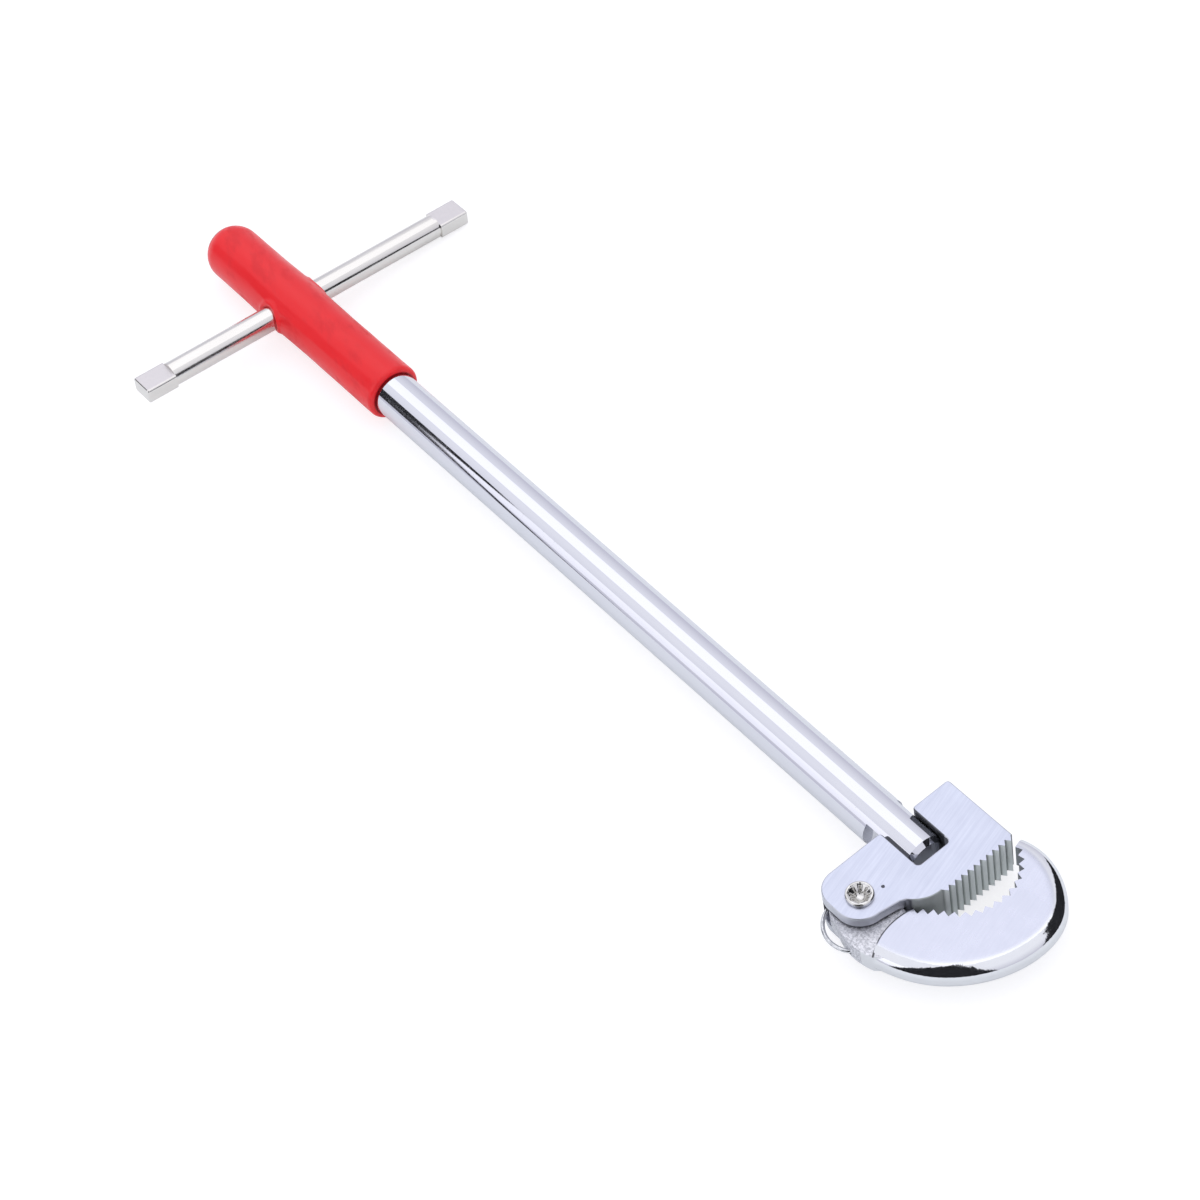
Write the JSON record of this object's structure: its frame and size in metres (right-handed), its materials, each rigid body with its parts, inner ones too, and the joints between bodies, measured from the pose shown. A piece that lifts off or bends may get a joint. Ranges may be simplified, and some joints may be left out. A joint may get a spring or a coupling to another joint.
{
  "type": "basin wrench",
  "caption": "Long-handled basin wrench: swivelling head with a toothed fixed jaw and a sprung hook jaw on a round shaft, with a dipped grip and a sliding T-bar.",
  "frame": {"origin": "centre of the fixed jaw's toothed face at mid-thickness, which lies beside the middle of the hook's round throat", "axes": "+X along the shaft and away from the handle, +Y across the head towards the hook's tip, +Z normal to the flat face of the head"},
  "size_m": [0.2865, 0.0938, 0.0146],
  "materials": {
    "shaft_chrome": "mirror plate with a faint lavender tint",
    "grip_vinyl": "satin-gloss dipped vinyl",
    "bar_nickel": "bright warm nickel plate",
    "head_satin": "satin brushed plate, diagonal grain",
    "hook_plate": "satin flat with a mirror rim",
    "rivet_bright": "bright flared head",
    "pin_steel": "plain ground",
    "spring_wire": "bright drawn wire"
  },
  "bodies": {
    "handle": {"shaft": "shaft_chrome", "grip_sleeve": "grip_vinyl"},
    "bar": {"t_bar": "bar_nickel"},
    "head": {"head_body": "head_satin", "jaw_rivet": "rivet_bright", "swivel_pin": "pin_steel", "jaw_spring": "spring_wire"},
    "hook": {"hook_jaw": "hook_plate"}
  },
  "joints": [
    {"name": "head_swivel", "type": "hinge", "parent": "handle", "child": "head", "pos_m": [-0.0144, -0.0046, 0], "axis": [0, 1, 0], "range_deg": [-100, 100]},
    {"name": "jaw_pivot", "type": "hinge", "parent": "head", "child": "hook", "pos_m": [-0.0104, -0.0218, 0], "axis": [0, 0, -1], "range_deg": [0, 55], "stiffness_Nm_per_rad": 0.02, "springref_deg": -34.38, "deforming": ["jaw_spring"]},
    {"name": "bar_slide", "type": "slide", "parent": "handle", "child": "bar", "axis": [0, 0.9951, -0.0993], "range_m": [-0.034, 0.0275]}
  ]
}
